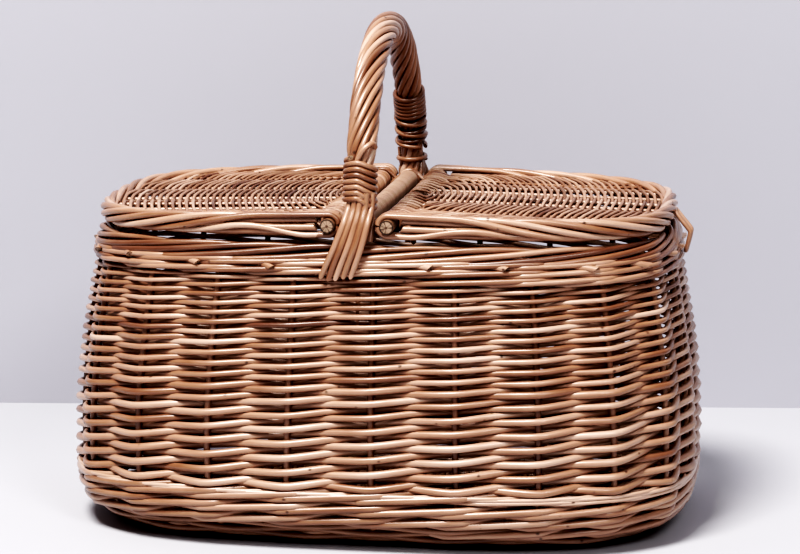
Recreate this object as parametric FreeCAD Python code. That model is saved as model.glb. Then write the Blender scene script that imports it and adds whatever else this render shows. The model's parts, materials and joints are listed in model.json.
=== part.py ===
import FreeCAD, Part
import math
import os

# Wicker picnic basket with a bow handle and two lids that hinge beside it.
# Millimetres. +Z is up, +X is along the basket's length, and the origin is on the
# floor under the middle of the base. The front is towards -Y.

V = FreeCAD.Vector
UP = V(0, 0, 1)
ALONG_DEPTH = V(0, 1, 0)

# ---- driving dimensions ----

# Plan shape: every level of the basket is a rounded oblong of this power.
corner_power = 3.4
length_less_depth = 76.0        # half length less half depth, the same at every height

# Wall, measured on its outside.
belly_half_length = 225.0
belly_height = 75.0
foot_inset = 41.0
foot_power = 7.0
rim_inset = 18.5
rim_power = 1.6
rim_height = 215.0
wall_thickness = 9.0
border_width = 14.0

# Heights where one band of weaving ends and the next begins.
foot_top = 8.0
upsett_top = 44.0
siding_top = 192.0
wale_top = 202.0

base_half_length = 172.0
base_thickness = 7.0
base_stick_count = 5
base_stick_radius = 2.6
base_stick_pitch = 34.0
base_stick_inset = 6.0          # from the base's edge to the ends of the sticks

stake_count = 24
stake_radius = 2.1
first_stake_x = 8.0             # the front stake nearest to the middle
end_crowding = 0.19             # share of a space by which stakes move towards the two ends

# Bow handle, a half circle over two short straight legs.
handle_x = -3.0
bow_radius = 120.0
bow_centre_height = 232.0
core_radius = 5.5
core_tip_radius = 2.0
core_tip_height = 130.0
core_tip_depth = 141.0
handle_radius = 10.6
binding_radius = 12.4
binding_bottom = 238.0
front_binding_top = 268.0
back_binding_top = 290.0

# Foot of each leg: rods that fan out over the border and tuck into the wale.
foot_rod_count = 5
foot_rod_radius = 2.1
foot_rod_pitch = 3.7
foot_head_rise = 4.0            # how far up inside the binding the rods begin
foot_gap = 2.8                  # from the border's face to the middle of the rods
foot_lid_gap = 2.0              # from the lids' edge to the middle of the rods
# Height, spread of the rods and shift to the left at three levels of the foot.
foot_shoulder = (231.0, 1.0, -1.7)
foot_middle = (215.0, 1.1, -7.7)
foot_tip = (192.0, 1.2, -15.5)

# Hinges: a stick along each lid turns in lashings beside the handle's crossbar.
hinge_height = 227.0
hinge_offset = 20.5             # from the handle's plane to each stick
stick_radius = 5.0
stick_half_length = 134.0
hinge_clearance = 0.06
lashing_radius = 8.5
lashing_inner_end = 105.0
lashing_outer_end = 113.0
lashing_neck_radius = 3.0
crossbar_core_radius = 5.0
crossbar_radius = 7.0
crossbar_half_length = 108.0
crossbar_tenon = 9.0

# Lids.
lid_half_length = 206.0
lid_half_depth = 131.0
lid_border_width = 12.0
lid_border_bottom = 220.0
lid_border_top = 236.0
lid_border_start = 6.0          # from the hinge axis to the border's first section
lid_weave_bottom = 226.0
lid_weave_top = 231.5
lid_hub_radius = 8.2
lid_hub_inner_end = 116.0
lid_sleeve_radius = 7.3
lid_sleeve_half_length = 103.0
lashing_room = 10.0             # kept free of lid weave round the lashings
lid_droop = 1.4                 # degrees that a closed lid falls towards its end
rib_count = 8
rib_radius = 1.5
rib_pitch = 24.0
rib_fan = 1.12                  # how far apart the ribs spread towards the border
rib_seat = 0.5                  # how deep a rib's end sits in the sleeve round the stick
rib_end_gap = 3.0               # from the border to a rib's outer end

# Closing loop, a bent rod that hangs from the right lid's end.
loop_radius = 1.7
loop_half_width = 7.0
loop_tip_half_width = 4.6
loop_top = (204.6, 224.5)
loop_kink = (216.5, 209.5)
loop_tip = (213.4, 195.0)
loop_notch = 2.6                # from the loop's top bar to the walls of its notch
loop_notch_depth = 14.0         # below the top bar


# ---- shared geometry ----

def half_length_at(z):
    """Half length of the outside of the wall at height z."""
    if z < belly_height:
        return belly_half_length - foot_inset * (1 - z / belly_height) ** foot_power
    rise = (z - belly_height) / (rim_height - belly_height)
    return belly_half_length - rim_inset * rise ** rim_power


def oval_point(half_length, half_depth, turn, z):
    """Point of a rounded oblong; turn is in radians from +X."""
    c, s = math.cos(turn), math.sin(turn)
    reach = (abs(c) ** corner_power + abs(s) ** corner_power) ** (-1 / corner_power)
    return V(half_length * c * reach, half_depth * s * reach, z)


def oval_wire(half_length, half_depth, z, points=48):
    curve = Part.BSplineCurve()
    turns = [2 * math.pi * i / points for i in range(points)]
    curve.interpolate([oval_point(half_length, half_depth, t, z) for t in turns],
                      PeriodicFlag=True)
    return Part.Wire(curve.toShape())


def oval_slab(half_length, half_depth, bottom, top):
    face = Part.Face(oval_wire(half_length, half_depth, bottom))
    return face.extrude(V(0, 0, top - bottom))


def wall_block(bottom, top, inset, levels):
    """Solid block with the wall's outline, inset by a distance, between two heights."""
    wires = []
    for i in range(levels):
        z = bottom + (top - bottom) * i / (levels - 1)
        half_length = half_length_at(z) - inset
        wires.append(oval_wire(half_length, half_length - length_less_depth, z))
    return Part.makeLoft(wires, True, False)


def wall_band(bottom, top, thickness, levels):
    outside = wall_block(bottom, top, 0.0, levels)
    inside = wall_block(bottom, top, thickness, levels)
    return outside.cut(inside)


def cylinder(start, end, radius):
    axis = end.sub(start)
    return Part.makeCylinder(radius, axis.Length, start, axis)


def tube(start, end, outer, inner):
    return cylinder(start, end, outer).cut(cylinder(start, end, inner))


def swept_rod(points, radius):
    curve = Part.BSplineCurve()
    curve.interpolate(points)
    start, end = curve.FirstParameter, curve.LastParameter
    section = Part.Wire(Part.makeCircle(radius, curve.value(start), curve.tangent(start)[0]))
    path = Part.Wire(curve.toShape(start, end))
    return path.makePipeShell([section], True, False)


def rod_chain(points, radius):
    """Closed chain of straight rods with round knuckles."""
    pieces = []
    for i, start in enumerate(points):
        end = points[(i + 1) % len(points)]
        pieces.append(cylinder(start, end, radius))
        pieces.append(Part.makeSphere(radius, start))
    return pieces[0].fuse(pieces[1:])


def export(name, shape):
    shape.exportStep("parts/" + name + ".step")


# ---- base and wall ----

def base_sticks():
    sticks = []
    middle = (base_stick_count - 1) / 2
    for i in range(base_stick_count):
        y = (i - middle) * base_stick_pitch
        share = abs(y) / (base_half_length - length_less_depth)
        reach = base_half_length * (1 - share ** corner_power) ** (1 / corner_power)
        reach -= base_stick_inset
        z = base_thickness / 2
        sticks.append(cylinder(V(-reach, y, z), V(reach, y, z), base_stick_radius))
    return sticks


def stake_turns():
    """Turns of the stakes round the wall, with one at first_stake_x in front."""
    steps = 1440
    half_length = half_length_at(belly_height)
    half_depth = half_length - length_less_depth
    front = -math.pi / 2 + math.atan(first_stake_x / half_length)
    travelled = [0.0]
    turns = [front + 2 * math.pi * i / steps for i in range(steps + 1)]
    spots = [oval_point(half_length, half_depth, t, 0) for t in turns]
    for before, after in zip(spots, spots[1:]):
        travelled.append(travelled[-1] + after.sub(before).Length)
    chosen = []
    for k in range(stake_count):
        place = k + end_crowding * math.sin(4 * math.pi * k / stake_count)
        goal = travelled[-1] * place / stake_count
        chosen.append(next(t for t, d in zip(turns, travelled) if d >= goal))
    return chosen


def side_stakes():
    stakes = []
    heights = [9, 14, 21, 32, 50, 85, 120, 155, 185, 208]
    for turn in stake_turns():
        path = []
        for z in heights:
            half_length = half_length_at(z) - wall_thickness / 2
            path.append(oval_point(half_length, half_length - length_less_depth, turn, z))
        stakes.append(swept_rod(path, stake_radius))
    return stakes


# ---- handle ----

def bow_tube(outer, inner, from_degrees, to_degrees):
    """Part of the bow as a tube; 0 degrees is the foot of the front leg's curve."""
    start = V(handle_x, -bow_radius, bow_centre_height)
    wires = [Part.Wire(Part.makeCircle(outer, start, UP))]
    if inner > 0:
        wires.append(Part.Wire(Part.makeCircle(inner, start, UP)))
    face = Part.Face(wires)
    centre = V(handle_x, 0, bow_centre_height)
    face.rotate(centre, V(1, 0, 0), -from_degrees)
    return face.revolve(centre, V(1, 0, 0), -(to_degrees - from_degrees))


def leg_spot(side, z):
    return V(handle_x, side * bow_radius, z)


def handle_core():
    core = bow_tube(core_radius, 0, 0, 180)
    for side in (-1, 1):
        core = core.fuse(cylinder(leg_spot(side, hinge_height), leg_spot(side, bow_centre_height),
                                  core_radius))
        top = leg_spot(side, hinge_height)
        tip = V(handle_x, side * core_tip_depth, core_tip_height)
        axis = tip.sub(top)
        core = core.fuse(Part.makeCone(core_radius, core_tip_radius, axis.Length, top, axis))
    return core


def handle_twist(core):
    sleeve = bow_tube(handle_radius, 0, 0, 180)
    for side in (-1, 1):
        leg = cylinder(leg_spot(side, rim_height), leg_spot(side, bow_centre_height), handle_radius)
        sleeve = sleeve.fuse(leg)
    return sleeve.cut(core)


def bow_degrees(z):
    return math.degrees(math.asin((z - bow_centre_height) / bow_radius))


def front_binding():
    return bow_tube(binding_radius, handle_radius, bow_degrees(binding_bottom),
                    bow_degrees(front_binding_top))


def back_binding():
    return bow_tube(binding_radius, handle_radius, 180 - bow_degrees(back_binding_top),
                    180 - bow_degrees(binding_bottom))


def handle_foot():
    """Fan of rods in front of the front leg."""
    rods = []
    middle = (foot_rod_count - 1) / 2
    face_y = length_less_depth - half_length_at(wale_top) - foot_gap
    for i in range(foot_rod_count):
        place = (i - middle) * foot_rod_pitch
        top_y = -bow_radius - math.sqrt(handle_radius ** 2 - place ** 2) + foot_rod_radius
        path = [V(handle_x + place, top_y, binding_bottom + foot_head_rise)]
        depths = (-lid_half_depth - foot_lid_gap, face_y, face_y)
        for (z, spread, shift), y in zip((foot_shoulder, foot_middle, foot_tip), depths):
            path.append(V(handle_x + spread * place + shift, y, z))
        rods.append(swept_rod(path, foot_rod_radius))
    return rods


def half_turn(shapes):
    """The same shapes turned round to the back leg."""
    turned = []
    for shape in shapes:
        copy = shape.copy()
        copy.rotate(V(handle_x, 0, 0), UP, 180)
        turned.append(copy)
    return turned


def crossbar_core():
    reach = crossbar_half_length + crossbar_tenon
    return cylinder(V(handle_x, -reach, hinge_height), V(handle_x, reach, hinge_height),
                    crossbar_core_radius)


def crossbar_wrap():
    return tube(V(handle_x, -crossbar_half_length, hinge_height),
                V(handle_x, crossbar_half_length, hinge_height),
                crossbar_radius, crossbar_core_radius)


# ---- hinges and lids ----

def hinge_x(side):
    """side is -1 for the left lid and +1 for the right lid."""
    return handle_x + side * hinge_offset


def hinge_lashing(side, end):
    """Turns of rod round the stick and the crossbar; end is -1 at the front, +1 at the back."""
    x = hinge_x(side)
    start = V(x, end * lashing_inner_end, hinge_height)
    stop = V(x, end * lashing_outer_end, hinge_height)
    middle_y = end * (lashing_inner_end + lashing_outer_end) / 2
    neck = cylinder(V(x, middle_y, hinge_height),
                    V(handle_x + side * crossbar_core_radius, middle_y, hinge_height),
                    lashing_neck_radius)
    lashing = cylinder(start, stop, lashing_radius).fuse(neck)
    return lashing.cut(cylinder(V(x, -stick_half_length, hinge_height),
                                V(x, stick_half_length, hinge_height),
                                stick_radius + hinge_clearance))


def hinge_stick(side):
    x = hinge_x(side)
    return cylinder(V(x, -stick_half_length, hinge_height), V(x, stick_half_length, hinge_height),
                    stick_radius)


def beyond_hinge(side, distance):
    """Block that holds everything on the lid's side of the hinge axis, from a distance on."""
    size = 3 * lid_half_length
    near = hinge_x(side) + side * distance
    left = near if side > 0 else near - size
    return Part.makeBox(size, size, size, V(left, -size / 2, hinge_height - size / 2))


def lid_border(side):
    outside = oval_slab(lid_half_length, lid_half_depth, lid_border_bottom, lid_border_top)
    inside = oval_slab(lid_half_length - lid_border_width, lid_half_depth - lid_border_width,
                       lid_border_bottom, lid_border_top)
    border = outside.cut(inside).common(beyond_hinge(side, lid_border_start))
    x = hinge_x(side)
    for end in (-1, 1):
        border = border.fuse(cylinder(V(x, end * lid_hub_inner_end, hinge_height),
                                      V(x, end * (lid_half_depth - 0.6), hinge_height),
                                      lid_hub_radius))
    return border.cut(hinge_stick(side))


def lid_weave(side):
    panel = oval_slab(lid_half_length - lid_border_width, lid_half_depth - lid_border_width,
                      lid_weave_bottom, lid_weave_top)
    panel = panel.common(beyond_hinge(side, 0))
    x = hinge_x(side)
    for end in (-1, 1):
        low_y = lid_sleeve_half_length if end > 0 else -lid_half_depth
        depth = lid_half_depth - lid_sleeve_half_length
        panel = panel.cut(Part.makeBox(2 * lashing_room, depth, 2 * lashing_room,
                                       V(x - lashing_room, low_y, hinge_height - lashing_room)))
    sleeve = cylinder(V(x, -lid_sleeve_half_length, hinge_height),
                      V(x, lid_sleeve_half_length, hinge_height), lid_sleeve_radius)
    return panel.fuse(sleeve).cut(hinge_stick(side))


def lid_ribs(side):
    ribs = []
    middle = (rib_count - 1) / 2
    z = (lid_weave_bottom + lid_weave_top) / 2
    start_x = hinge_x(side) + side * (lid_sleeve_radius - rib_seat)
    reach_x = lid_half_length - lid_border_width - rib_end_gap
    reach_y = lid_half_depth - lid_border_width - rib_end_gap
    for i in range(rib_count):
        y = (i - middle) * rib_pitch
        end_y = y * rib_fan
        end_x = reach_x * (1 - (abs(end_y) / reach_y) ** corner_power) ** (1 / corner_power)
        ribs.append(cylinder(V(start_x, y, z), V(side * end_x, end_y, z), rib_radius))
    return ribs


def drooped(side, shapes):
    """Shapes of a closed lid, leaning down to the border at its end."""
    leant = []
    for shape in shapes:
        copy = shape.copy()
        copy.rotate(V(hinge_x(side), 0, hinge_height), ALONG_DEPTH, side * lid_droop)
        leant.append(copy)
    return leant


def closing_loop():
    corners = [V(loop_top[0], loop_half_width, loop_top[1]),
               V(loop_kink[0], loop_half_width, loop_kink[1]),
               V(loop_tip[0], loop_tip_half_width, loop_tip[1]),
               V(loop_tip[0], -loop_tip_half_width, loop_tip[1]),
               V(loop_kink[0], -loop_half_width, loop_kink[1]),
               V(loop_top[0], -loop_half_width, loop_top[1])]
    return rod_chain(corners, loop_radius)


def loop_room():
    """Notch in the lid's end border that the closing loop swings in."""
    half_width = loop_half_width + loop_notch
    bottom = loop_top[1] - loop_notch_depth
    return Part.makeBox(lid_border_width, 2 * half_width, lid_border_top - bottom,
                        V(loop_top[0] - loop_notch, -half_width, bottom))


# ---- the parts ----

os.makedirs("parts", exist_ok=True)

base_half_depth = base_half_length - length_less_depth
base_plate = oval_slab(base_half_length, base_half_depth, 0, base_thickness)
sticks = base_sticks()
export("base_sticks", Part.makeCompound(sticks))
export("base_weave", base_plate)
export("foot_border", wall_block(0, foot_top, 0, 6).cut(
    oval_slab(base_half_length, base_half_depth, 0, foot_top)))
export("upsett_wale", wall_band(foot_top, upsett_top, wall_thickness + 2, 5))
export("side_stakes", Part.makeCompound(side_stakes()))
export("side_weave", wall_band(upsett_top, siding_top, wall_thickness, 8))
export("top_wale", wall_band(siding_top, wale_top, wall_thickness + 1, 3))
export("top_border", wall_band(wale_top, rim_height, border_width, 3))

core = handle_core()
export("handle_core", core)
export("handle_twist", handle_twist(core))
export("front_leg_binding", front_binding())
export("back_leg_binding", back_binding())
front_foot = handle_foot()
export("front_handle_foot", Part.makeCompound(front_foot))
export("back_handle_foot", Part.makeCompound(half_turn(front_foot)))
export("crossbar_core", crossbar_core())
export("crossbar_wrap", crossbar_wrap())

for side, side_name in ((-1, "left"), (1, "right")):
    for end, end_name in ((-1, "front"), (1, "back")):
        export("hinge_lashing_" + end_name + "_" + side_name, hinge_lashing(side, end))
    stick, weave, border = drooped(side, [hinge_stick(side), lid_weave(side), lid_border(side)])
    if side > 0:
        border = border.cut(loop_room())
    export(side_name + "_hinge_stick", stick)
    export(side_name + "_lid_weave", weave)
    export(side_name + "_lid_border", border)
    export(side_name + "_lid_ribs", Part.makeCompound(drooped(side, lid_ribs(side))))

export("closing_loop", closing_loop())
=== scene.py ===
import json
import math

import bpy
import numpy as np
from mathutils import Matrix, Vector


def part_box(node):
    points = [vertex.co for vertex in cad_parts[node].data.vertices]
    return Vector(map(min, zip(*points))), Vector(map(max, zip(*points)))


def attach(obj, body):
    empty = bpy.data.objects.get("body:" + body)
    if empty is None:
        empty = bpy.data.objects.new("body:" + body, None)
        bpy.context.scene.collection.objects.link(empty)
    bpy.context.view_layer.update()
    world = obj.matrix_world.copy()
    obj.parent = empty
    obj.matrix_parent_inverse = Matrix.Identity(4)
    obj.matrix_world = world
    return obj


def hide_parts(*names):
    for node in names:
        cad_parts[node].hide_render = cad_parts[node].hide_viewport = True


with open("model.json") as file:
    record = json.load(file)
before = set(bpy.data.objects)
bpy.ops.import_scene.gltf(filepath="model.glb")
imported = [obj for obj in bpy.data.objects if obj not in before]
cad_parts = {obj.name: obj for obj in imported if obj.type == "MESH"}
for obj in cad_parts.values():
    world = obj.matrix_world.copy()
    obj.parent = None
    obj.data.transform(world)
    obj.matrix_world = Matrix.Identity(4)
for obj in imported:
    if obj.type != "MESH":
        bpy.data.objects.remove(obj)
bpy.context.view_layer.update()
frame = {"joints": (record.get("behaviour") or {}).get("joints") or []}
rng = np.random.default_rng(11)

# The looks of a willow picnic basket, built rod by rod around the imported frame.
# Working units are millimetres; meshes are scaled to metres when they are made.

MM = 0.001
TAU = 2 * math.pi


def low(node, axis):
    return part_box(node)[0][axis] / MM


def high(node, axis):
    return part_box(node)[1][axis] / MM


X, Y, Z = 0, 1, 2
joints = {j["name"]: j for j in frame["joints"]}

# ---- sizes, from the frame ----

belly_half_length = high("side_weave", X)
length_less_depth = belly_half_length - high("side_weave", Y)
belly_height = 75.0
corner_power = 3.4
foot_inset = 41.0
foot_power = 7.0
rim_height = high("top_border", Z)
rim_inset = 18.5
rim_power = 1.6
upsett_bottom = low("upsett_wale", Z)
siding_bottom = low("side_weave", Z)
siding_top = high("side_weave", Z)
wale_top = high("top_wale", Z)
stake_count = 24
stake_radius = 2.15
base_stick_pitch = 34.0
first_stake_x = 8.0
end_crowding = 0.19          # stakes stand closer round the two ends

handle_x = (low("handle_twist", X) + high("handle_twist", X)) / 2
handle_radius = (high("handle_twist", X) - low("handle_twist", X)) / 2
handle_top = high("handle_twist", Z) - handle_radius
bow_radius = high("handle_twist", Y) - handle_radius
bow_centre_height = handle_top - bow_radius
binding_bottom = low("front_leg_binding", Z)
front_binding_top = high("front_leg_binding", Z)
back_binding_top = high("back_leg_binding", Z)

hinge_height = joints["left_lid_hinge"]["pos_m"][Z] / MM
hinge_x = {-1: joints["left_lid_hinge"]["pos_m"][X] / MM, 1: joints["right_lid_hinge"]["pos_m"][X] / MM}
stick_radius = (high("left_hinge_stick", X) - low("left_hinge_stick", X)) / 2
stick_half_length = high("left_hinge_stick", Y)
crossbar_radius = (high("crossbar_wrap", X) - low("crossbar_wrap", X)) / 2
crossbar_half_length = high("crossbar_wrap", Y)
lashing_inner_end = low("hinge_lashing_back_left", Y)
lashing_outer_end = high("hinge_lashing_back_left", Y)

lid_half_length = 206.0
lid_half_depth = 131.0
lid_border_width = 12.0
lid_droop = math.radians(1.4)
lid_body = {-1: "left_lid", 1: "right_lid"}
lid_name = {-1: "left", 1: "right"}


# ---- wall coordinates: s counts stakes round the basket from the front, z is height ----

def half_length_at(z):
    z = np.asarray(z, float)
    below = np.clip(1 - z / belly_height, 0, 1)
    above = np.clip((z - belly_height) / (rim_height - belly_height), 0, None)
    return belly_half_length - foot_inset * below ** foot_power - rim_inset * above ** rim_power


def oval(turn, half_length, half_depth):
    """Point of a rounded oblong and its outward direction in plan."""
    c, s = np.cos(turn), np.sin(turn)
    reach = (np.abs(c) ** corner_power + np.abs(s) ** corner_power) ** (-1 / corner_power)
    x, y = half_length * c * reach, half_depth * s * reach
    nx = np.sign(c) * np.abs(c * reach) ** (corner_power - 1) / half_length
    ny = np.sign(s) * np.abs(s * reach) ** (corner_power - 1) / half_depth
    size = np.hypot(nx, ny)
    return x, y, nx / size, ny / size


def soft_wave(turns, softness=0.93):
    """A cosine drawn nearer to straight lines between its peaks."""
    return np.arcsin(softness * np.cos(TAU * turns)) / math.asin(softness)


def smooth(points, count):
    """Even points on a rounded curve through the given ones."""
    points = np.asarray(points, float)
    ends = np.concatenate([[2 * points[0] - points[1]], points, [2 * points[-1] - points[-2]]])
    steps = np.linspace(0, len(points) - 1, 24 * len(points))
    i = np.minimum(steps.astype(int), len(points) - 2)
    t = (steps - i)[:, None]
    a, b, c, d = ends[i], ends[i + 1], ends[i + 2], ends[i + 3]
    curve = 0.5 * (2 * b + (c - a) * t + (2 * a - 5 * b + 4 * c - d) * t ** 2
                   + (3 * b - a - 3 * c + d) * t ** 3)
    travelled = np.concatenate([[0], np.cumsum(np.linalg.norm(np.diff(curve, axis=0), axis=1))])
    even = np.linspace(0, travelled[-1], count)
    return np.stack([np.interp(even, travelled, curve[:, k]) for k in range(3)], -1)


def stake_table():
    steps = 2880
    front = -math.pi / 2 + math.atan(first_stake_x / belly_half_length)
    turns = front + TAU * np.arange(steps + 1) / steps
    x, y, _, _ = oval(turns, belly_half_length, belly_half_length - length_less_depth)
    travelled = np.concatenate([[0], np.cumsum(np.hypot(np.diff(x), np.diff(y)))])
    return travelled * stake_count / travelled[-1], turns


stake_grid, turn_grid = stake_table()


def on_wall(s, z, out):
    """Points at out millimetres outside the wall's outline (inside it where negative)."""
    crowded = s + end_crowding * np.sin(TAU * s * 2 / stake_count)
    turn = np.interp(np.mod(crowded, stake_count), stake_grid, turn_grid)
    half = half_length_at(z)
    x, y, nx, ny = oval(turn, half, half - length_less_depth)
    slope = (half_length_at(z + 0.5) - half_length_at(z - 0.5))
    lean = np.sqrt(1 + slope ** 2)
    return np.stack([x + out * nx / lean, y + out * ny / lean, z - out * slope / lean], -1)


def along_wall(s, z, out, straight=0.5):
    """The same, with stretches between stakes partly pulled straight, as a stiff rod runs."""
    s, z, out = np.broadcast_arrays(np.asarray(s, float), np.asarray(z, float), np.asarray(out, float))
    first = np.floor(s)
    part = (s - first)[..., None]
    chord = (1 - part) * on_wall(first, z, out) + part * on_wall(first + 1, z, out)
    return (1 - straight) * on_wall(s, z, out) + straight * chord


def wander(n, size, waves=3.0):
    """Smooth random drift along n points."""
    t = np.linspace(0, 1, n)
    drift = np.zeros(n)
    for k in range(1, 4):
        drift += np.sin(TAU * (t * waves * k * rng.uniform(0.7, 1.3) + rng.random())) / k
    return size * drift / 1.8


# ---- rods ----

def unit(v):
    return v / np.maximum(np.linalg.norm(v, axis=-1, keepdims=True), 1e-9)


def frames_along(path, side):
    """Two directions across a path at each point. side is a direction to keep to, or None."""
    tangent = unit(np.gradient(path, axis=0))
    if side is None:
        across = np.zeros_like(path)
        start = np.array([0.0, 0.0, 1.0]) if abs(tangent[0][2]) < 0.9 else np.array([1.0, 0.0, 0.0])
        across[0] = start
        for i in range(len(path)):
            last = across[i - 1] if i else start
            across[i] = unit(last - tangent[i] * (last @ tangent[i]))
    else:
        side = np.broadcast_to(np.asarray(side, float), path.shape)
        across = unit(side - tangent * np.sum(side * tangent, -1, keepdims=True))
    return tangent, across, np.cross(tangent, across)


class Rods:
    """Swept rods gathered into one mesh."""

    def __init__(self):
        self.points, self.faces, self.space, self.tone, self.cut, self.rim = [], [], [], [], [], []
        self.count = 0

    def _put(self, points, space, tone, cut, rim):
        first = self.count
        self.points.append(points)
        self.space.append(space)
        self.tone.append(np.broadcast_to(tone, (len(points),)))
        self.cut.append(np.full(len(points), cut))
        self.rim.append(rim)
        self.count += len(points)
        return first

    def add(self, path, radius, side=None, sides=8, tone=None, flat=1.0, slant=(0.0, 0.0), rings=(1.0, 0.5)):
        """One rod. flat squeezes it along the side direction; slant tilts its two cut ends; tone is
        one number or one for each point."""
        path = np.asarray(path, float)
        n = len(path)
        radius = np.broadcast_to(np.asarray(radius, float), (n,))
        flat = np.broadcast_to(np.asarray(flat, float), (n,))
        tone = float(np.clip(rng.normal(0.55, 0.17), 0, 1)) if tone is None else tone
        tangent, across, other = frames_along(path, side)
        length = np.concatenate([[0], np.cumsum(np.linalg.norm(np.diff(path, axis=0), axis=1))])
        turn = TAU * np.arange(sides) / sides
        c, s = np.cos(turn), np.sin(turn)
        ring = (across[:, None] * (c[:, None] * (radius * flat)[:, None, None])
                + other[:, None] * (s[:, None] * radius[:, None, None]))
        points = path[:, None] + ring
        for end, amount in ((0, slant[0]), (n - 1, slant[1])):
            if amount:
                points[end] += tangent[end] * (c * radius[end] * amount)[:, None]
        offset = rng.random(3) * 900
        space = np.stack([radius[:, None] * c + offset[0], radius[:, None] * s + offset[1],
                          np.broadcast_to(length[:, None], (n, sides)) + offset[2]], -1)
        tones = np.broadcast_to(np.asarray(tone, float), (n,))
        first = self._put(points.reshape(-1, 3), space.reshape(-1, 3), np.repeat(tones, sides), 0.0,
                          np.ones(n * sides))
        a = np.arange(n - 1)[:, None] * sides + np.arange(sides)
        b = np.arange(n - 1)[:, None] * sides + (np.arange(sides) + 1) % sides
        quads = np.stack([a, b, b + sides, a + sides], -1).reshape(-1, 4) + first
        self.faces.extend(quads.tolist())
        for end, order in ((0, -1), (n - 1, 1)):
            dome = tangent[end] * order * radius[end] * 0.1
            self._cap(points[end], dome, offset, radius[end], tones[end], order, rings)

    def _cap(self, rim, dome, offset, radius, tone, order, rings):
        """Closes a rod's end with a slightly domed face in rings, so that it can show pith and bark."""
        sides, centre = len(rim), rim.mean(0)
        turn = TAU * np.arange(sides) / sides
        spots = [centre + (rim - centre) * level + dome * (1 - level) for level in rings] + [[centre + dome]]
        spoke = np.stack([radius * np.cos(turn), radius * np.sin(turn), np.zeros(sides)], -1) + offset
        space = [spoke + (0, 0, 0.3 * level) for level in rings] + [[offset]]
        levels = np.concatenate([np.repeat(rings, sides), [0.0]])
        first = self._put(np.concatenate(spots), np.concatenate(space), tone, 1.0, levels)
        for k in range(sides):
            m = (k + 1) % sides
            for i in range(len(rings) - 1):
                at = first + i * sides
                self.faces.append([at + k, at + m, at + sides + m, at + sides + k][::order])
            last = first + (len(rings) - 1) * sides
            self.faces.append([last + k, last + m, first + len(rings) * sides][::order])

    def make(self, name, body, material, slot, *nodes):
        points = np.concatenate(self.points) * MM
        mesh = bpy.data.meshes.new(name)
        mesh.from_pydata(points.tolist(), [], self.faces)
        mesh.polygons.foreach_set("use_smooth", np.ones(len(mesh.polygons), bool))
        for key, kind, values in (("rod_space", "FLOAT_VECTOR", np.concatenate(self.space) * MM),
                                  ("tone", "FLOAT", np.concatenate(self.tone)),
                                  ("cut", "FLOAT", np.concatenate(self.cut)),
                                  ("rim", "FLOAT", np.concatenate(self.rim))):
            layer = mesh.attributes.new(key, kind, "POINT")
            field = "vector" if kind == "FLOAT_VECTOR" else "value"
            layer.data.foreach_set(field, np.ascontiguousarray(values, np.float32).ravel())
        mesh.update()
        piece = bpy.data.objects.new(name, mesh)
        bpy.context.scene.collection.objects.link(piece)
        mesh.materials.append(material)
        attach(piece, body)
        if nodes:
            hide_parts(*nodes)
        return piece


# ---- materials ----

class Nodes:
    """Shorthand for wiring one material."""

    def __init__(self, name):
        self.material = bpy.data.materials.new(name)
        self.material.use_nodes = True
        self.tree = self.material.node_tree
        self.shader = self.tree.nodes["Principled BSDF"]

    def new(self, kind, inputs=(), **settings):
        node = self.tree.nodes.new(kind)
        for key, value in settings.items():
            setattr(node, key, value)
        for key, value in dict(inputs).items():
            if isinstance(value, bpy.types.NodeSocket):
                self.tree.links.new(value, node.inputs[key])
            else:
                node.inputs[key].default_value = value
        return node

    def attribute(self, name, output="Fac"):
        return self.new("ShaderNodeAttribute", attribute_name=name).outputs[output]

    def noise(self, vector, scale, stretch=(1, 1, 1), detail=3.0, roughness=0.6):
        scaled = self.new("ShaderNodeVectorMath", {0: vector, 1: stretch}, operation="MULTIPLY")
        return self.new("ShaderNodeTexNoise", {"Vector": scaled.outputs[0], "Scale": scale,
                                               "Detail": detail, "Roughness": roughness}).outputs["Fac"]

    def ramp(self, value, stops):
        node = self.new("ShaderNodeValToRGB", {"Fac": value})
        points = node.color_ramp.elements
        while len(points) < len(stops):
            points.new(0.5)
        for point, (place, colour) in zip(points, stops):
            point.position = place
            point.color = (*colour, 1)
        return node.outputs["Color"]

    def maths(self, operation, a, b=0.0, clamp=False):
        return self.new("ShaderNodeMath", {0: a, 1: b}, operation=operation, use_clamp=clamp).outputs[0]

    def mix(self, factor, a, b, blend="MIX"):
        node = self.new("ShaderNodeMix", data_type="RGBA", blend_type=blend)
        for socket, value in zip((node.inputs[0], node.inputs[6], node.inputs[7]), (factor, a, b)):
            if isinstance(value, bpy.types.NodeSocket):
                self.tree.links.new(value, socket)
            else:
                socket.default_value = value
        return node.outputs[2]

    def finish(self, colour, roughness, height, depth, specular=0.5, coat=0.0):
        self.tree.links.new(colour, self.shader.inputs["Base Color"])
        self.tree.links.new(roughness, self.shader.inputs["Roughness"])
        bump = self.new("ShaderNodeBump", {"Height": height, "Strength": 1.0, "Distance": depth})
        self.tree.links.new(bump.outputs[0], self.shader.inputs["Normal"])
        self.shader.inputs["Specular IOR Level"].default_value = specular
        self.shader.inputs["Coat Weight"].default_value = coat
        self.shader.inputs["Coat Roughness"].default_value = 0.26
        return self.material


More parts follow.
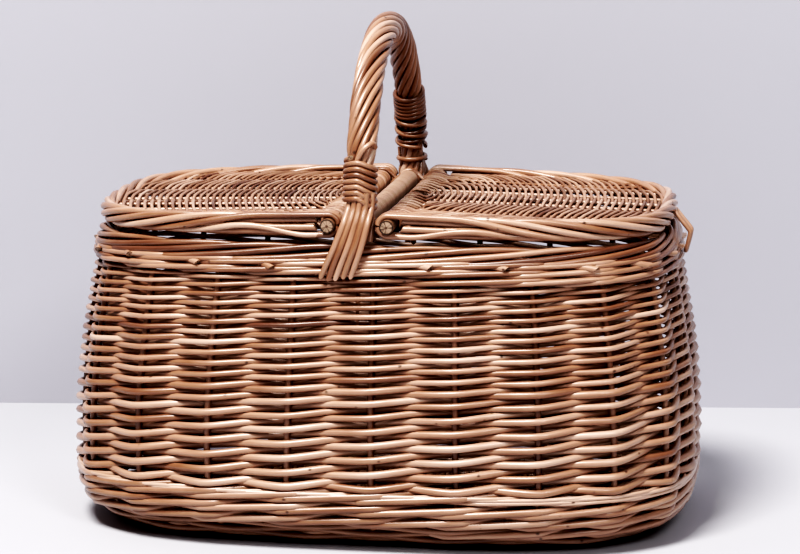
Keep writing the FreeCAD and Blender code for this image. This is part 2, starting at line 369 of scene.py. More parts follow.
def willow(name, stops, grain_depth, rough, coat, bark=(0.30, 0.17, 0.09)):
    """Peeled willow: tone from rod to rod, streaks along it, small dark buds, pale cut ends."""
    n = Nodes(name)
    # Noise scales are per metre: two across the rod, then one along it.
    space = n.attribute("rod_space", "Vector")
    tone = n.attribute("tone")
    streak = n.noise(space, 1.0, (1500, 1500, 60), 4.0)
    patch = n.noise(space, 1.0, (130, 130, 22), 2.0)
    drift = n.noise(space, 1.0, (30, 30, 7), 1.0)
    shade = n.maths("ADD", tone, n.maths("MULTIPLY", n.maths("SUBTRACT", patch, 0.5), 0.8))
    shade = n.maths("ADD", shade, n.maths("MULTIPLY", n.maths("SUBTRACT", drift, 0.5), 0.8), True)
    colour = n.ramp(shade, stops)
    colour = n.mix(n.maths("MULTIPLY", streak, 0.5), colour, (0.58, 0.46, 0.40, 1), "MULTIPLY")
    scaled = n.new("ShaderNodeVectorMath", {0: space, 1: (71, 71, 60)}, operation="MULTIPLY")
    bud = n.new("ShaderNodeTexVoronoi", {"Vector": scaled.outputs[0], "Scale": 1.0})
    bud_mask = n.ramp(bud.outputs["Distance"], [(0.04, (1, 1, 1)), (0.10, (0, 0, 0))])
    colour = n.mix(bud_mask, colour, (0.085, 0.038, 0.018, 1))
    pith, wood = (0.13, 0.07, 0.042), (0.36, 0.25, 0.18)
    end = n.ramp(n.attribute("rim"), [(0.14, pith), (0.24, wood), (0.74, wood), (0.88, bark)])
    crack = n.noise(space, 1.0, (800, 800, 900), 2.0)
    crack = n.ramp(crack, [(0.40, (0.10, 0.06, 0.04)), (0.52, (1, 1, 1))])
    end = n.mix(0.75, end, crack, "MULTIPLY")
    colour = n.mix(n.attribute("cut"), colour, end)
    roughness = n.maths("ADD", n.maths("MULTIPLY", patch, 0.22), rough - 0.1)
    height = n.maths("ADD", streak, n.maths("MULTIPLY", bud_mask, 0.9))
    return n.finish(colour, roughness, height, grain_depth, 0.5, coat)


BUFF = [(0.0, (0.125, 0.050, 0.025)), (0.3, (0.255, 0.128, 0.074)),
        (0.6, (0.415, 0.250, 0.172)), (1.0, (0.59, 0.425, 0.335))]
STICK = [(0.0, (0.10, 0.055, 0.032)), (0.5, (0.27, 0.16, 0.10)), (1.0, (0.46, 0.31, 0.20))]
SKEIN = [(0.0, (0.22, 0.13, 0.085)), (0.5, (0.38, 0.25, 0.18)), (1.0, (0.50, 0.36, 0.28))]

weave_willow = willow("willow_weave", BUFF, grain_depth=0.0002, rough=0.42, coat=0.75)
lid_willow = willow("willow_lid", BUFF, grain_depth=0.0002, rough=0.42, coat=0.3)
rod_willow = willow("willow_rod", BUFF, grain_depth=0.00025, rough=0.40, coat=0.65)
stick_willow = willow("willow_stick", STICK, grain_depth=0.0004, rough=0.6, coat=0.0,
                      bark=(0.055, 0.03, 0.018))
skein_willow = willow("willow_skein", SKEIN, grain_depth=0.0003, rough=0.48, coat=0.15)


# ---- wall ----

def rounds_and_heights():
    """Heights of the randing's rounds: a lower set of thick rods, then a set of thin ones."""
    lower = np.linspace(10.3, 9.6, 7)
    upper = np.linspace(7.7, 5.75, 11)
    pitches = np.concatenate([lower, upper])
    heights = siding_bottom + 3 + np.concatenate([[0], np.cumsum(pitches), [pitches.sum() + 1.2]])
    heights[len(lower):-1] -= np.linspace(1.2, 0, len(upper) + 1)       # thin rods lie closer
    return len(lower), len(upper), heights, pitches


lower_rounds, upper_rounds, round_heights, round_pitches = rounds_and_heights()


def siding(first_round, rounds, thickness, mean_tone, stakes_past):
    """French randing: every rod goes in front of one stake, behind the next, and climbs. The last
    set runs past a few more stakes to level the top."""
    rods = Rods()
    rod_room = 4.8                      # between the wall's outline and its stakes
    for j in range(stake_count):
        s = np.arange(j - 0.95, j + 2 * rounds - 1 + stakes_past + 0.06, 0.1)
        climbed = (s - j) / 2
        w = first_round + climbed
        pitch = np.interp(w - 0.5, np.arange(len(round_pitches)), round_pitches)
        fuller = 1 + 0.12 * np.clip(-1.6 * np.cos(TAU * s / stake_count), 0, 1)
        radius = thickness * pitch * rng.uniform(0.93, 1.07) * (1.05 - 0.10 * climbed / rounds) * fuller
        swing = 0.5 * (soft_wave((s - j) / 2) + np.cos(math.pi * (s - j)))
        z = np.interp(w, np.arange(len(round_heights)), round_heights)
        z = z - 0.045 * pitch * soft_wave(s - j) + wander(len(s), 0.35, rounds / 2)
        middle = -(stake_radius + rod_room)
        out = middle + swing * (stake_radius + radius) + wander(len(s), 0.22, rounds)
        tone = np.clip(rng.normal(mean_tone, 0.15), 0.05, 1)
        rods.add(along_wall(s, z, out, 0.6), radius, (0, 0, 1), 8, tone, slant=(0.8, 0.8))
    return rods


def wale(rods, s_start, s_end, bottom, height, radius, middle, steepness, strands=3, tone=0.55):
    """Waling: each rod passes in front of two stakes and behind one, roped on its neighbours. It
    climbs by height in a round, and crosses its neighbours with the given steepness."""
    for k in range(strands):
        s = np.arange(s_start + k, s_end + k + 0.05, 0.1)
        u = np.mod((s - s_start - k) / strands, 1)
        swing = np.clip(0.5 - 1.5 * np.cos(TAU * u), -1, 1)
        climb = np.interp(u, [0, 0.12, 0.88, 1], [0.5, 0, 1, 0.5]) - 0.5
        z = bottom + height * (s - s_start) / stake_count + climb * steepness + wander(len(s), 0.3, 6)
        out = middle + swing * (stake_radius + radius)
        shade = np.clip(rng.normal(tone, 0.15), 0.05, 1)
        rods.add(along_wall(s, z, out, 0.35), radius * rng.uniform(0.94, 1.05), (0, 0, 1), 8, shade,
                 slant=(1.2, 1.2))


def stakes():
    rods = Rods()
    z = np.concatenate([np.linspace(upsett_bottom, 60, 14), np.linspace(66, wale_top + 4, 22)])
    for k in range(stake_count):
        s = k + wander(len(z), 0.012, 1)
        radius = stake_radius * (1.12 - 0.10 * z / rim_height)
        rods.add(on_wall(s, z, -(stake_radius + 4.7)), radius, (1, 0, 0), 8, rng.uniform(0.15, 0.5))
    return rods


def top_border_rods():
    """Border: every stake's rod comes out low in front, climbs past three stakes and tucks inside."""
    rods = Rods()
    s_keys = [-0.5, -0.15, 0.15, 0.4, 1.3, 2.2, 2.6, 3.0, 3.4, 4.0, 4.8]
    z_keys = [-10.0, -11.8, -12.6, -12.2, -7.8, -3.0, -2.0, -2.0, -3.2, -5.5, -9.0]
    out_keys = [-9.5, -6.4, -2.9, -2.1, -2.2, -2.8, -4.6, -7.2, -10.4, -11.8, -11.2]
    for j in range(stake_count):
        s = np.arange(s_keys[0], s_keys[-1] + 0.01, 0.08)
        z = np.interp(s, s_keys, z_keys)
        out = np.interp(s, s_keys, out_keys)
        kernel = np.array([1, 2, 3, 2, 1]) / 9
        z[2:-2] = np.convolve(z, kernel, "valid")
        out[2:-2] = np.convolve(out, kernel, "valid")
        radius = rng.uniform(2.15, 2.6) * np.interp(s, [-0.5, 0.3, 3.0, 4.8], [0.9, 1.0, 0.82, 0.7])
        z = rim_height + z + wander(len(s), 0.45, 1.2)
        spot = s + j + rng.uniform(-0.07, 0.07)
        tone = np.clip(rng.normal(0.37, 0.17), 0.05, 1)
        rods.add(along_wall(spot, z, out, 0.3), radius, (0, 0, 1), 10, tone, slant=(0.9, 0.9))
    return rods


def border_stubs(rods):
    """Thick ends cut off just under the border, one for each stake, that point out and down."""
    for j in range(stake_count):
        start = j + 0.45 + rng.uniform(-0.08, 0.08)
        reach, dip = rng.uniform(0.22, 0.36), rng.uniform(1.5, 5.0)
        s = np.linspace(start, start + reach, 9)
        z = rim_height - 12.6 - np.linspace(0, dip, 9)
        out = np.linspace(-6.5, 0.2, 9)
        rods.add(on_wall(s, z, out), 2.35 * rng.uniform(0.85, 1.1), (0, 0, 1), 12, rng.uniform(0.5, 0.8),
                 slant=(0, 0.9))
    return rods


lower_siding = siding(0, lower_rounds, thickness=0.262, mean_tone=0.55, stakes_past=0)
lower_siding.make("lower_siding", "basket", weave_willow, "willow_weave", "side_weave")
upper_siding = siding(lower_rounds, upper_rounds, thickness=0.285, mean_tone=0.60, stakes_past=2)
upper_siding.make("upper_siding", "basket", weave_willow, "willow_weave", "side_weave")
stakes().make("stakes", "basket", rod_willow, "willow_rod", "side_stakes")

upsett = Rods()
wale(upsett, 0.0, 3 * stake_count, bottom=upsett_bottom + 4.5, height=9.2, radius=2.6, middle=-7.0,
     steepness=8.5)
wale(upsett, 0.4, 33.4, bottom=upsett_bottom + 31.5, height=2.6, radius=1.4, middle=-5.4,
     steepness=2.4, tone=0.8)
upsett.make("upsett_rods", "basket", weave_willow, "willow_weave", "upsett_wale")

top_waling = Rods()
wale(top_waling, 0.0, 54, bottom=siding_top - 1.2, height=5.4, radius=2.0, middle=-5.6, steepness=4.6,
     tone=0.45)
top_waling.make("top_wale_rods", "basket", weave_willow, "willow_weave", "top_wale")
border_stubs(top_border_rods()).make("border_rods", "basket", rod_willow, "willow_rod", "top_border")


# ---- foot and base ----

def foot_border_rods():
    """Border under the walls: rods roll out from below and climb past two stakes."""
    rods = Rods()
    s_keys = [-0.6, -0.1, 0.4, 1.1, 1.9, 2.5, 3.0]
    z_keys = [1.0, 0.6, 0.8, 2.4, 5.2, 8.6, 11.0]
    out_keys = [-14.0, -6.0, -2.5, -2.4, -2.6, -4.6, -9.0]
    for j in range(stake_count):
        s = np.arange(s_keys[0], s_keys[-1] + 0.01, 0.1)
        z = np.interp(s, s_keys, z_keys)
        out = np.interp(s, s_keys, out_keys)
        radius = 2.35 * rng.uniform(0.93, 1.05) * np.linspace(1.05, 0.8, len(s))
        spot = s + j + rng.uniform(-0.06, 0.06)
        rods.add(along_wall(spot, z, out, 0.3), radius, (0, 0, 1), 8, slant=(0.9, 0.9))
    return rods


def base_rim_rods(rods):
    """Rounds of weave from the base out and up to the foot of the walls, darker at the foot."""
    first, foot = high("base_weave", X) - 2.5, 203.0
    reaches, levels = (first, foot, foot + 8.0, foot + 11.5), (3.8, 8.6, 16.5, 21.5)
    for i, half in enumerate(np.arange(first, reaches[-1], 4.2)):
        s = np.arange(0, stake_count + 0.5, 0.1) + 5 * i
        turn = np.interp(np.mod(s, stake_count), stake_grid, turn_grid)
        x, y, _, _ = oval(turn, half, half - length_less_depth)
        z = np.interp(half, reaches, levels) + 1.2 * np.cos(math.pi * (s + i))
        rods.add(np.stack([x, y, z], -1), 2.2 * rng.uniform(0.95, 1.05), (0, 0, 1), 7,
                 np.clip(rng.normal(0.2 if half > foot else 0.5, 0.1), 0, 1))
    return rods


def base_edge(part):
    """How far the base reaches to each side, at a part of its half length."""
    half_depth = high("base_weave", Y) - 1.0
    return half_depth * (1 - min(abs(part), 0.999) ** corner_power) ** (1 / corner_power)


def base_rods():
    """Base: rods run from side to side, over one stick and under the next."""
    rods = Rods()
    reach = high("base_weave", X) - 2.0
    middle = (low("base_weave", Z) + high("base_weave", Z)) / 2
    for i, x in enumerate(np.arange(-reach, reach, 3.7)):
        edge = base_edge(x / (reach + 2.0))
        y = np.linspace(-edge, edge, max(8, int(edge / 1.6)))
        side = 1 if i % 2 else -1
        z = middle + side * 2.0 * np.cos(math.pi * y / base_stick_pitch)
        rods.add(np.stack([np.full_like(y, x) + wander(len(y), 0.3), y, z], -1), 1.5, (0, 0, 1), 6,
                 slant=(0.6, 0.6))
    return rods


def base_stick_rods():
    rods = Rods()
    middle = (low("base_weave", Z) + high("base_weave", Z)) / 2
    reach = high("base_sticks", X)
    for i in range(-2, 3):
        y = i * base_stick_pitch
        end = reach * (1 - (abs(y) / (high("base_weave", Y) + 2)) ** corner_power) ** (1 / corner_power)
        path = smooth([(-end, y, middle), (0, y + rng.uniform(-0.5, 0.5), middle), (end, y, middle)], 30)
        rods.add(path, 2.4, (0, 0, 1), 10, rng.uniform(0.3, 0.6))
    return rods


base_rim_rods(foot_border_rods()).make("foot_rods", "basket", rod_willow, "willow_rod", "foot_border")
base_rods().make("base_rods", "basket", weave_willow, "willow_weave", "base_weave")
base_stick_rods().make("base_stick_rods", "basket", stick_willow, "willow_stick", "base_sticks")


# ---- handle ----

leg_travel = math.pi * bow_radius


def bow(travel, away, turn):
    """Points round the handle. travel runs over the bow from the front leg; turn goes round it."""
    travel, away, turn = np.broadcast_arrays(np.asarray(travel, float), away, turn)
    angle = np.clip(travel, 0, leg_travel) / bow_radius
    below = np.minimum(travel, 0) + np.minimum(leg_travel - travel, 0)
    out_y, out_z = -np.cos(angle), np.sin(angle)
    y = (bow_radius + away * np.cos(turn)) * out_y
    z = bow_centre_height + below + (bow_radius + away * np.cos(turn)) * out_z
    z = np.where(below < 0, bow_centre_height + below, z)
    return np.stack([handle_x + away * np.sin(turn), y, z], -1)


def travel_at(z):
    """Way along the front leg to a height."""
    return bow_radius * math.asin((z - bow_centre_height) / bow_radius)


front_bound = (travel_at(binding_bottom), travel_at(front_binding_top))
back_bound = (leg_travel - travel_at(back_binding_top), leg_travel - travel_at(binding_bottom))


def handle_strands():
    """Rope of rods round the bow, drawn tight under the bindings."""
    rods = Rods()
    strands, radius, lay = 10, 2.28, 138.0
    travel = np.linspace(rim_height - bow_centre_height, leg_travel + bow_centre_height - rim_height, 230)
    squeeze = np.zeros_like(travel)
    for start, stop in (front_bound, back_bound):
        inside = np.minimum(travel - start, stop - travel)
        squeeze = np.maximum(squeeze, np.clip(0.5 + inside / 10, 0, 1))
    for k in range(strands):
        away = (handle_radius - radius) * (1 + wander(len(travel), 0.03, 3)) - 2.0 * squeeze
        turn = TAU * (k / strands + travel / lay) + wander(len(travel), 0.05, 3)
        thick = radius * rng.uniform(0.93, 1.05) * (1 - 0.1 * squeeze)
        rods.add(bow(travel, away, turn), thick, None, 9, np.clip(rng.normal(0.43, 0.2), 0.05, 1))
    return rods


def coil(rods, start, stop, turns, radius, away, first_turn=0.0, tone=0.5, tilt=0.0):
    """A rod wound round the handle at a distance from its middle, from one place to another."""
    u = np.linspace(0, 1, int(abs(turns) * 26) + 2)
    turn = first_turn + TAU * turns * u
    travel = start + (stop - start) * u - tilt * np.clip(np.sin(turn), 0, 1) * (1.15 - 0.7 * u)
    away = away + wander(len(u), 0.15, abs(turns) / 2)
    path = bow(travel, away, turn)
    rods.add(path, radius, None, 9, tone, slant=(0.8, 0.8))


def front_binding_rods():
    rods = Rods()
    start, stop = front_bound
    coil(rods, start + 5.5, stop - 1.8, turns=7.4, radius=1.95, away=10.3, first_turn=math.pi,
         tone=0.42, tilt=6.5)
    tail = smooth(bow(np.array([stop - 4, stop + 3, stop + 8, stop + 7]), np.array([8.5, 11.5, 12.2, 10.0]),
                      np.array([-0.2, 0.25, 0.75, 1.35])), 16)
    rods.add(tail, 1.9, None, 9, 0.7, slant=(0.4, 0.4))
    return rods


def back_binding_rods():
    rods = Rods()
    start, stop = back_bound
    # The low tones make the back binding darker: partly painted shade, as the far leg lies in shadow, and
    # partly the rods' own reddish-brown.
    coil(rods, start + 1.8, start + 23, turns=6.2, radius=1.85, away=10.5, first_turn=0.4, tone=0.2)
    coil(rods, start + 24, stop - 14, turns=3.1, radius=1.8, away=10.3, first_turn=1.0, tone=0.15)
    coil(rods, stop - 15, start + 22, turns=2.6, radius=1.8, away=10.9, first_turn=2.4, tone=0.3)
    coil(rods, stop - 6, stop - 3.5, turns=1.2, radius=1.8, away=10.3, first_turn=0.2, tone=0.3)
    return rods


def foot_rods(end):
    """Fan of rods down the outside of a leg, with flat scarfed tips; end is -1 at the front."""
    rods = Rods()
    face_y = length_less_depth - half_length_at(wale_top) - 2.8
    for i in range(5):
        place = (i - 2) * 3.9
        top_y = -bow_radius - math.sqrt(10.2 ** 2 - place ** 2)
        spots = [(0.95, 2.4, top_y + 1.7, binding_bottom + 12),         # spread, lean, depth, height
                 (1.0, 1.2, top_y + 0.8, binding_bottom + 2),
                 (1.06, -0.8, -lid_half_depth - 2.6, hinge_height + 2),
                 (1.18, -5.4, face_y - 0.6, rim_height - 1),
                 (1.26, -10.2, face_y - 0.2, rim_height - 13),
                 (1.34, -13.8 + rng.uniform(-0.4, 0.4), face_y + 0.4, siding_top + rng.uniform(0, 2.5))]
        path = smooth([(handle_x + place * spread + lean, y, z) for spread, lean, y, z in spots], 38)
        along = np.linspace(0, 1, len(path))
        thick = 2.45 * rng.uniform(0.94, 1.06) * np.interp(along, [0, 0.6, 0.9, 1], [0.9, 0.94, 0.9, 0.72])
        flat = np.interp(along, [0, 0.72, 1], [1, 0.92, 0.55])
        if end > 0:
            path = path * (-1, -1, 1) + (2 * handle_x, 0, 0)
        rods.add(path, thick, (0, end, 0), 10, 0.5 + 0.09 * (-1) ** i, flat, (0, 1.6))
    return rods


def core_rods():
    """The stick inside the handle; its sharpened ends go down into the weave."""
    rods = Rods()
    tip_y = length_less_depth - half_length_at(low("handle_core", Z)) + 12.5
    leg = [(handle_x, tip_y, low("handle_core", Z)), (handle_x, tip_y + 2.5, 165),
           (handle_x, -bow_radius - 2, 200), (handle_x, -bow_radius, hinge_height)]
    path = np.concatenate([smooth(leg, 24), bow(np.linspace(4, leg_travel - 4, 90), 0.0, 0.0),
                           smooth([(x, -y, z) for x, y, z in leg[::-1]], 24)])
    radius = np.interp(path[:, 2], [low("handle_core", Z), 200, 230], [1.3, 2.6, 5.2])
    rods.add(path, radius, (1, 0, 0), 12, 0.0)
    return rods


handle_strands().make("handle_strands", "basket", rod_willow, "willow_rod", "handle_twist")
core_rods().make("handle_stick", "basket", rod_willow, "willow_rod", "handle_core")
front_binding_rods().make("front_binding", "basket", rod_willow, "willow_rod", "front_leg_binding")
back_binding_rods().make("back_binding", "basket", rod_willow, "willow_rod", "back_leg_binding")
foot_rods(-1).make("front_foot_rods", "basket", rod_willow, "willow_rod", "front_handle_foot")
foot_rods(1).make("back_foot_rods", "basket", rod_willow, "willow_rod", "back_handle_foot")


# ---- crossbar and hinge lashings ----

def crossbar_skein():
    rods = Rods()
    pitch, per_turn = 2.6, 16
    count = int(2 * crossbar_half_length / pitch * per_turn)
    y = np.linspace(-crossbar_half_length + 1.5, crossbar_half_length - 1.5, count)
    turn = TAU * y / pitch
    away = crossbar_radius - 0.7 + wander(count, 0.12, 9)
    spoke = np.stack([np.cos(turn), np.zeros(count), np.sin(turn)], -1)
    path = np.stack([np.full(count, handle_x), y, np.full(count, hinge_height)], -1) + spoke * away[:, None]
    rods.add(path, 1.3, spoke, 8, 0.6, 0.55)
    return rods


def lashing_rods(side, end):
    """Figure of eight round a hinge stick and the crossbar."""
    rods = Rods()
    x, loops = hinge_x[side], 3
    ring, rod = 6.9, 1.3
    gap = abs(hinge_x[side] - handle_x)
    cross = math.acos(min(2 * ring / gap, 0.98))
    sweep = np.linspace(cross, TAU - cross, 22)
    spots = []
    for _ in range(loops):
        spots += [(x - side * ring * math.cos(a), hinge_height + ring * math.sin(a)) for a in sweep]
        spots += [(handle_x + side * ring * math.cos(a), hinge_height + ring * math.sin(a)) for a in sweep]
    spots = np.array(spots)
    y = end * np.linspace(abs(lashing_outer_end) - rod, lashing_inner_end + rod, len(spots))
    path = np.stack([spots[:, 0], y, spots[:, 1]], -1)
    rods.add(path, rod, None, 8, rng.uniform(0.3, 0.7), slant=(0.5, 0.5))
    return rods


def crossbar_stick():
    rods = Rods()
    reach = high("crossbar_core", Y)
    rods.add(smooth([(handle_x, y, hinge_height) for y in (-reach, 0, reach)], 20), 5.2, (0, 0, 1), 14, 0.4)
    return rods


crossbar_stick().make("crossbar_stick", "basket", stick_willow, "willow_stick", "crossbar_core")
crossbar_skein().make("crossbar_skein", "basket", skein_willow, "willow_skein", "crossbar_wrap")
for side in (-1, 1):
    for end in (-1, 1):
        node = "hinge_lashing_" + ("front_" if end < 0 else "back_") + lid_name[side]
        lashing_rods(side, end).make(node + "_rod", "basket", rod_willow, "willow_rod", node)


# ---- lids ----

def droop(side, path):
    """Leans points of a closed lid down to its end, about the hinge."""
    path = np.asarray(path, float)
    angle = side * lid_droop
    x, z = path[:, 0] - hinge_x[side], path[:, 2] - hinge_height
    return np.stack([hinge_x[side] + x * math.cos(angle) + z * math.sin(angle), path[:, 1],
                     hinge_height - x * math.sin(angle) + z * math.cos(angle)], -1)


def lid_outline(side, inset, count):
    """The lid's edge from its front end to its back end: distance from the hinge, depth, outward."""
    turn = np.linspace(-math.pi / 2, math.pi / 2, 1200)
    x, y, nx, ny = oval(turn, lid_half_length - inset, lid_half_depth - inset)
    away = x - side * hinge_x[side]
    keep = away > 0.5
    line = np.stack([away, y, nx, ny], -1)[keep]
    travelled = np.concatenate([[0], np.cumsum(np.hypot(*np.diff(line[:, :2], axis=0).T))])
    even = np.linspace(0, travelled[-1], count)
    return even, np.stack([np.interp(even, travelled, line[:, k]) for k in range(4)], -1)


rib_pitch, rib_fan = 24.0, 0.12
lid_level = 228.75              # the middle of the lids' weave
border_level = 228.0            # the middle of the lids' border
lid_length = lid_half_length - 20.0
bow_start = 7.0                 # the first bows leave the stick here
bow_roundness = 260.0
bow_pitch = 2.02
bow_spread = 0.0045             # the bows are farther apart, and thicker, away from the stick
bow_lift = 2.5
weave_inset = 6.5
weave_half_depth = 102.5        # bows that end within this go round the stick
strand_tone = [0.72, 0.45, 0.6, 0.5, 0.78, 0.4]
strand_thickness = [1.02, 0.95, 1.0, 1.04, 0.93, 0.98]
parting = 62.0                  # the border's strands part over this length beside the stick


def stick_turn(y, over, rod_radius, lead):
    """A rod's way round the hinge stick: from under the lid, round the far side and back on top."""
    ring = stick_radius + rod_radius
    angle = np.radians(np.linspace(-35, -270, 15))
    x, z = ring * np.cos(angle), ring * np.sin(angle)
    x = np.concatenate([x, [6.0, 11.0]])
    z = np.concatenate([z, [ring - 0.5, ring * 0.62]])
    z = z if over else -z
    return np.stack([x, y + lead * np.linspace(1, 0, len(x)), hinge_height + z], -1)


def lid_bow(side, reach):
    """One of the nested bows of a lid's weave: distances from the hinge and places across the lid."""
    half = math.sqrt(bow_roundness * reach) * (1 - 0.75 * math.exp(-reach / 18))
    y = half * np.sin(np.linspace(-math.pi / 2, math.pi / 2, max(24, int(1.2 * half))))
    away = bow_start + reach * np.sqrt(np.clip(1 - (y / half) ** 2, 0, 1))
    x = away + side * hinge_x[side]
    part_x, part_y = x / (lid_half_length - weave_inset), np.abs(y) / (lid_half_depth - weave_inset)
    inside = part_x ** corner_power + part_y ** corner_power < 1
    return away[inside], y[inside]


def lid_weavers(side):
    """Rods bowed round the stick's middle, over two ribs and under the next two; where they dip under, they
    get painted shade.
    """
    rods = Rods()
    farthest = lid_half_length - weave_inset - abs(hinge_x[side]) - bow_start - 1.0
    count = np.arange(120)
    reaches = 2.5 + bow_pitch * count + bow_spread * count ** 2
    for k, reach in enumerate(reaches[reaches < farthest]):
        away, y = lid_bow(side, reach)
        ribs_past = y / (rib_pitch * (1 + rib_fan * away / lid_length))
        lift = bow_lift * np.clip(1.35 * np.cos(math.pi / 2 * ribs_past), -1, 1) * (1 if k % 2 else -1)
        path = np.stack([away, y, lid_level + lift + wander(len(y), 0.25)], -1)
        meets_stick = abs(y[0]) < weave_half_depth
        clear = 14.0 if meets_stick else 11.5
        kept = away > clear if (away > clear).sum() > 3 else away > 0.7 * away.max()
        # painted_shade: how far each point dips below the weave's middle, used below to darken the rod there
        # as painted shade.
        path, painted_shade = path[kept], np.clip(-lift[kept] / bow_lift, 0, 1)
        if meets_stick:
            over = bool(k % 2)
            front = stick_turn(-abs(y[0]), over, 1.15, 1.3)
            back = stick_turn(abs(y[0]), not over, 1.15, -1.3)
            path = np.concatenate([front, path, back[::-1]])
            painted_shade = np.pad(painted_shade, len(front))
        path = path * (side, 1, 1) + (hinge_x[side], 0, 0)
        radius = (1.04 + 0.26 * reach / lid_length) * rng.uniform(0.9, 1.08)
        # Parts that dip under the ribs are made darker: painted shade, standing in for the shadow of the
        # strands above.
        tone = np.clip(rng.normal(0.50, 0.17) - 0.45 * painted_shade, 0.0, 1)
        rods.add(droop(side, path), radius, None, 7, tone)
    return rods


def lid_rib_rods(side):
    rods = Rods()
    _, edge = lid_outline(side, lid_border_width / 2, 300)
    for i in range(8):
        y = (i - 3.5) * rib_pitch
        end = edge[np.argmin(np.abs(edge[:, 1] - y * (1 + rib_fan)) + 1000 * (edge[:, 0] < 30))]
        path = smooth([(6.4, y, lid_level), (end[0] / 2, y * (1 + rib_fan / 2), lid_level),
                       (end[0], y * (1 + rib_fan), lid_level)], 24) * (side, 1, 1) + (hinge_x[side], 0, 0)
        # Only pale tones for the ribs: a painted highlight, so that they show as bright spots in the slots
        # between the weavers.
        rods.add(droop(side, path), 1.45, (0, 0, 1), 8, rng.uniform(0.6, 0.9))
    return rods


def lid_border_rods(side):
    """Edge of a lid: rods roped with a long lay. By the stick half of them pass over it, turn round
    its end and come back underneath."""
    rods = Rods()
    strands, lay, rod = 6, 185.0, 2.4
    ring = stick_radius + 2.0
    half_count = 120
    along, edge = lid_outline(side, lid_border_width / 2, 2 * half_count)
    phase = TAU * rng.random()
    turns = phase + TAU * (np.arange(strands)[:, None] / strands - along / lay)
    away = edge[:, 0]
    for end in (-1, 1):
        half = slice(0, half_count) if end < 0 else slice(half_count, None)
        place = np.argmin(np.abs(away[half] - parting)) + half.start
        rank = np.argsort(-np.sin(turns[:, place]))
        tops, lows = rank[:3], rank[3:]
        tops = tops[np.argsort(np.cos(turns[tops, place]))]
        lows = lows[np.argsort(np.cos(turns[lows, place]))]
        for over, group in ((1, tops), (-1, lows)):
            for row, k in enumerate(group):
                path, thick = lid_strand(edge[half], turns[k, half], over, row, ring, end)
                path = path * (side, 1, 1) + (hinge_x[side], 0, 0)
                rods.add(droop(side, path), rod * thick * strand_thickness[k], (0, 0, 1), 9, strand_tone[k],
                         slant=(0.6, 0.6))
        lid_border_fillers(rods, side, edge[half], end)
    return rods


def lid_border_fillers(rods, side, edge, end):
    """Rods laid between the strands above and below the stick, where these part."""
    edge = edge[::-1] if end > 0 else edge
    away, reach = edge[:, 0], 96.0
    keep = (away > 8.0) & (away < reach)
    for row, rise in enumerate((-2.6, 2.2)):
        across = 1.5 - 3.0 * row
        path = np.stack([away + across * edge[:, 2], edge[:, 1] + across * edge[:, 3],
                         border_level + rise * np.clip((reach - away) / 60, 0, 1)], -1)[keep]
        path = path * (side, 1, 1) + (hinge_x[side], 0, 0)
        rods.add(droop(side, path), 2.2, (0, 0, 1), 9, 0.45 + 0.2 * row, slant=(0.6, 0.6))


def lid_strand(edge, turn, over, row, ring, end):
    """One strand of half a lid's border, from the stick at one side to the lid's far end."""
    if end > 0:
        edge, turn = edge[::-1], turn[::-1]
    away = edge[:, 0]
    clear = 14.0
    keep = away > clear
    near = 1 - np.clip((away - clear) / parting, 0, 1)
    near = near ** 2 * (3 - 2 * near)
    across = (1 - near) * 3.5 * np.cos(turn) + near * (-6.0 + 4.2 * row)
    rise = (1 - near) * 5.5 * np.sin(turn) + near * (over * ring - 1.0)
    path = np.stack([away + across * edge[:, 2], edge[:, 1] + across * edge[:, 3], border_level + rise], -1)
    path = path[keep]
    y = path[0, 1]
    if over > 0:
        angles = np.radians(np.linspace(268, 92, 18))
        around = [(ring * math.cos(a), y, hinge_height + ring * math.sin(a)) for a in angles]
        head = [(8.0, y, hinge_height - ring), *around, (7.0, y, hinge_height + ring)]
    else:
        head = [(2.0, y, hinge_height - ring)]
    path = np.concatenate([head, path])
    thick = np.concatenate([np.full(len(head), 0.84), (1 - 0.16 * near)[keep]])
    return path, thick


def stick_rod(side):
    rods = Rods()
    ends = [(hinge_x[side], -stick_half_length, hinge_height), (hinge_x[side], 0, hinge_height),
            (hinge_x[side], stick_half_length, hinge_height)]
    rods.add(smooth(ends, 30), stick_radius - 0.05, (0, 0, 1), 24, 0.35, rings=(1.0, 0.9, 0.72, 0.45, 0.2))
    return rods


for side in (-1, 1):
    name, body = lid_name[side], lid_body[side]
    lid_weavers(side).make(name + "_lid_weavers", body, lid_willow, "willow_weave", name + "_lid_weave")
    lid_rib_rods(side).make(name + "_lid_rib_rods", body, rod_willow, "willow_rod", name + "_lid_ribs")
    lid_border_rods(side).make(name + "_lid_border_rods", body, rod_willow, "willow_rod",
                               name + "_lid_border")
    stick_rod(side).make(name + "_stick", body, stick_willow, "willow_stick", name + "_hinge_stick")


# ---- closing loop ----

def loop_rod():
    """Bent rod that hangs from the right lid's end."""
    rods = Rods()
    side = [(204.6, 0, 224.5), (205.2, 6.2, 223.6), (211.0, 7.0, 216.5), (215.9, 7.0, 210.4),
            (216.4, 6.9, 208.4), (215.0, 5.8, 201.5), (213.6, 4.3, 196.3), (213.3, 0, 194.9)]
    ring = side + [(x, -y, z) for x, y, z in side[-2:0:-1]] + [side[0]]
    rods.add(smooth(ring, 90), 1.65, None, 10, 0.7)
    return rods


loop_rod().make("closing_loop_rod", "closing_loop", rod_willow, "willow_rod", "closing_loop")


# ---- camera, light and floor ----

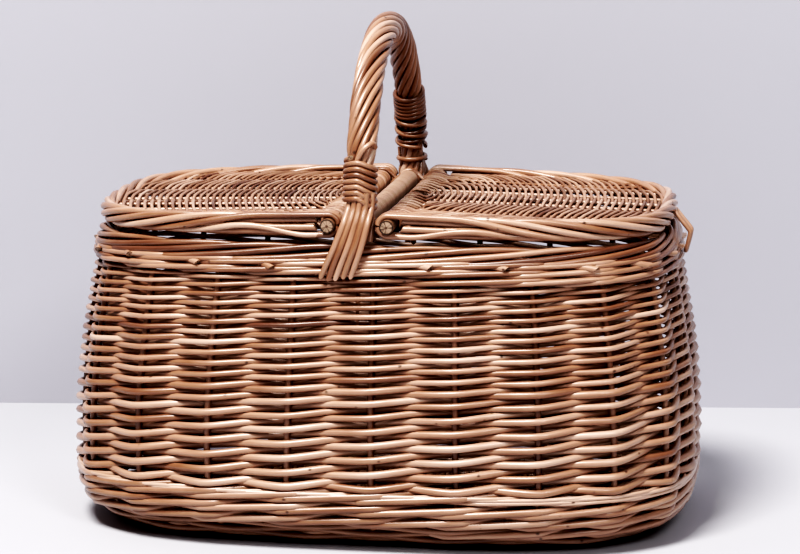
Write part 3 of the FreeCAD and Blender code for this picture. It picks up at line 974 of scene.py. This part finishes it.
def camera():
    azimuth, elevation, distance = math.radians(8.8), math.radians(9.8), 2.18
    focal_length, frame_width = 3000, 800
    target = Vector((0.0063, 0.0, 0.170))
    back = Vector((math.sin(azimuth) * math.cos(elevation), -math.cos(azimuth) * math.cos(elevation),
                   math.sin(elevation)))
    data = bpy.data.cameras.new("camera")
    data.sensor_width = 36.0
    data.lens = focal_length * data.sensor_width / frame_width
    data.clip_end = 20
    eye = bpy.data.objects.new("camera", data)
    eye.location = target + back * distance
    eye.rotation_euler = back.to_track_quat("Z", "Y").to_euler()
    bpy.context.scene.collection.objects.link(eye)
    bpy.context.scene.camera = eye


def area_light(name, place, aim, size, power, colour):
    data = bpy.data.lights.new(name, "AREA")
    data.shape = "DISK"
    data.size = size
    data.energy = power
    data.color = colour
    lamp = bpy.data.objects.new(name, data)
    lamp.location = place
    lamp.rotation_euler = (Vector(place) - Vector(aim)).to_track_quat("Z", "Y").to_euler()
    bpy.context.scene.collection.objects.link(lamp)


def matt(name, colour, rough=0.9):
    n = Nodes(name)
    place = n.new("ShaderNodeTexCoord").outputs["Object"]
    fleck = n.noise(place, 9.0, detail=4.0)
    darker = (*(0.8 * part for part in colour), 1)
    shade = n.mix(n.maths("MULTIPLY", fleck, 0.08), (*colour, 1), darker)
    return n.finish(shade, n.maths("ADD", n.maths("MULTIPLY", fleck, 0.05), rough), fleck, 0.0002, 0.2)


def clear_from_behind(material):
    """Lets a view from behind the wall see the basket."""
    tree = material.node_tree
    back = tree.nodes.new("ShaderNodeNewGeometry").outputs["Backfacing"]
    clear = tree.nodes.new("ShaderNodeBsdfTransparent").outputs[0]
    either = tree.nodes.new("ShaderNodeMixShader")
    for socket, source in zip(either.inputs, (back, tree.nodes["Principled BSDF"].outputs[0], clear)):
        tree.links.new(source, socket)
    tree.links.new(either.outputs[0], tree.nodes["Material Output"].inputs["Surface"])
    return material


def backdrop():
    """Pale floor, and a pale wall behind the basket, turned to face the camera."""
    half, wall_half, wall_y, turn = 2.4, 1.7, 0.345, math.radians(7.0)
    floor = bpy.data.meshes.new("floor")
    corners = [(-half, -half, 0), (half, -half, 0), (half, half, 0), (-half, half, 0)]
    floor.from_pydata(corners, [], [(0, 1, 2, 3)])
    floor.materials.append(matt("floor_white", (0.505, 0.503, 0.53)))
    x, y = wall_half * math.cos(turn), wall_half * math.sin(turn)
    wall = bpy.data.meshes.new("wall")
    wall.from_pydata([(-x, wall_y - y, 0), (x, wall_y + y, 0), (x, wall_y + y, 3), (-x, wall_y - y, 3)],
                     [], [(0, 1, 2, 3)])
    wall.materials.append(clear_from_behind(matt("wall_grey", (0.43, 0.425, 0.465))))
    for mesh in (floor, wall):
        piece = bpy.data.objects.new(mesh.name, mesh)
        bpy.context.scene.collection.objects.link(piece)


def light():
    world = bpy.data.worlds.new("studio")
    bpy.context.scene.world = world
    world.use_nodes = True
    tree, dim = world.node_tree, world.node_tree.nodes["Background"]
    dim.inputs[0].default_value = (0.86, 0.88, 0.95, 1)
    dim.inputs[1].default_value = 0.11
    seen, either = tree.nodes.new("ShaderNodeBackground"), tree.nodes.new("ShaderNodeMixShader")
    seen.inputs[0].default_value = (0.50, 0.50, 0.54, 1)
    camera_ray = tree.nodes.new("ShaderNodeLightPath").outputs["Is Camera Ray"]
    for socket, source in zip(either.inputs, (camera_ray, dim.outputs[0], seen.outputs[0])):
        tree.links.new(source, socket)
    tree.links.new(either.outputs[0], tree.nodes["World Output"].inputs["Surface"])
    aim = (0.0, 0.1, 0.15)
    area_light("key", (-0.55, -1.5, 2.95), aim, size=1.0, power=165, colour=(1.0, 0.985, 0.97))
    area_light("side", (1.2, -2.0, 1.8), aim, size=0.8, power=27, colour=(0.98, 0.98, 1.0))


def contrast():
    """Deep shadows between the rods, and bright tops."""
    settings = bpy.context.scene.view_settings
    settings.view_transform = "Standard"
    settings.use_curve_mapping = True
    curve = settings.curve_mapping.curves[3]
    for x, y in ((0.04, 0.004), (0.11, 0.046), (0.28, 0.28), (0.60, 0.68)):
        curve.points.new(x, y)
    settings.curve_mapping.update()


camera()
backdrop()
light()
contrast()
